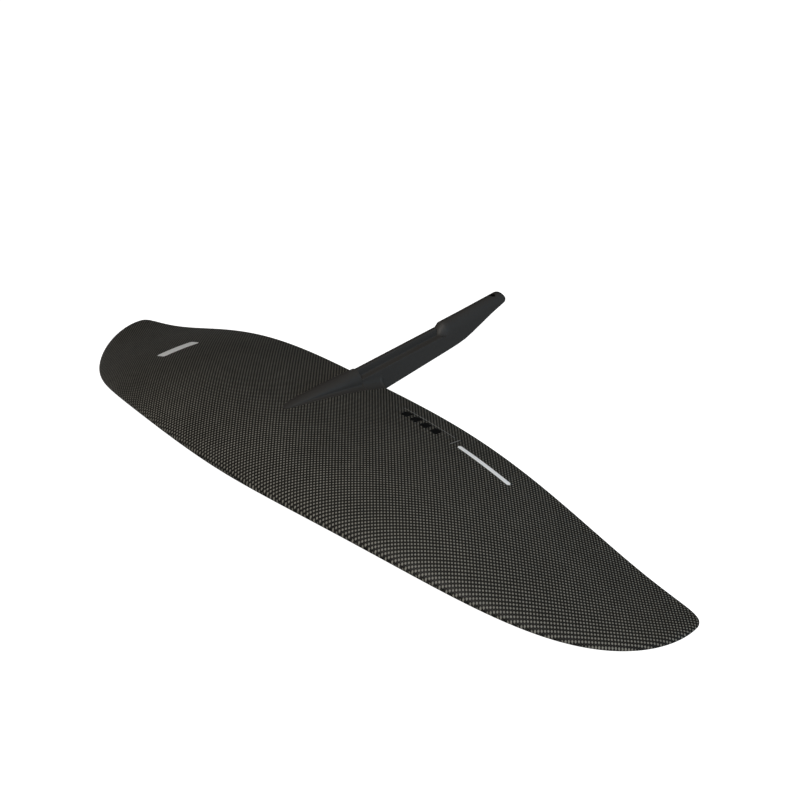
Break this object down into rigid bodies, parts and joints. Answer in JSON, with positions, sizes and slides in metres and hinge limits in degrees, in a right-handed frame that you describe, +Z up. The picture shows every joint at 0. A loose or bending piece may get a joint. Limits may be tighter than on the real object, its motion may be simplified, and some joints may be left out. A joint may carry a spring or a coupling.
{
  "type": "hydrofoil front wing",
  "caption": "Curved carbon hydrofoil front wing with a rear stub whose raised rib and shoulders carry the mast.",
  "frame": {"origin": "centre of the mast rib's top face", "axes": "+Z up, square to the mast seat; +Y aft, along the stub; +X to port, across the span"},
  "size_m": [0.9496, 0.4815, 0.126],
  "materials": {
    "woven_carbon": "clear-coated plain weave carbon",
    "plain_carbon": "straight-fibre carbon laminate",
    "foam": "closed-cell foam",
    "resin_block": "filled resin block",
    "stub_paint": "matte dark coating",
    "insert_metal": "dark steel",
    "white_mark": "thin film",
    "black_mark": "thin film",
    "grey_mark": "thin film"
  },
  "bodies": {
    "root": {"upper_skin": "woven_carbon", "lower_skin": "woven_carbon", "leading_edge_strip": "plain_carbon", "port_trailing_edge_insert": "plain_carbon", "starboard_trailing_edge_insert": "plain_carbon", "port_front_core": "foam", "starboard_front_core": "foam", "port_rear_core": "foam", "starboard_rear_core": "foam", "port_tip_block": "resin_block", "starboard_tip_block": "resin_block", "root_block": "resin_block", "upper_spar_cap": "plain_carbon", "lower_spar_cap": "plain_carbon", "spar_web": "plain_carbon", "stub_beam": "plain_carbon", "stub_upper_shell": "stub_paint", "stub_lower_shell": "stub_paint", "mast_rib": "stub_paint", "tail_insert": "insert_metal", "starboard_tip_mark": "white_mark", "port_name_bar": "white_mark", "port_size_bars": "black_mark", "port_hairline": "grey_mark", "port_divider": "grey_mark"}
  },
  "joints": []
}
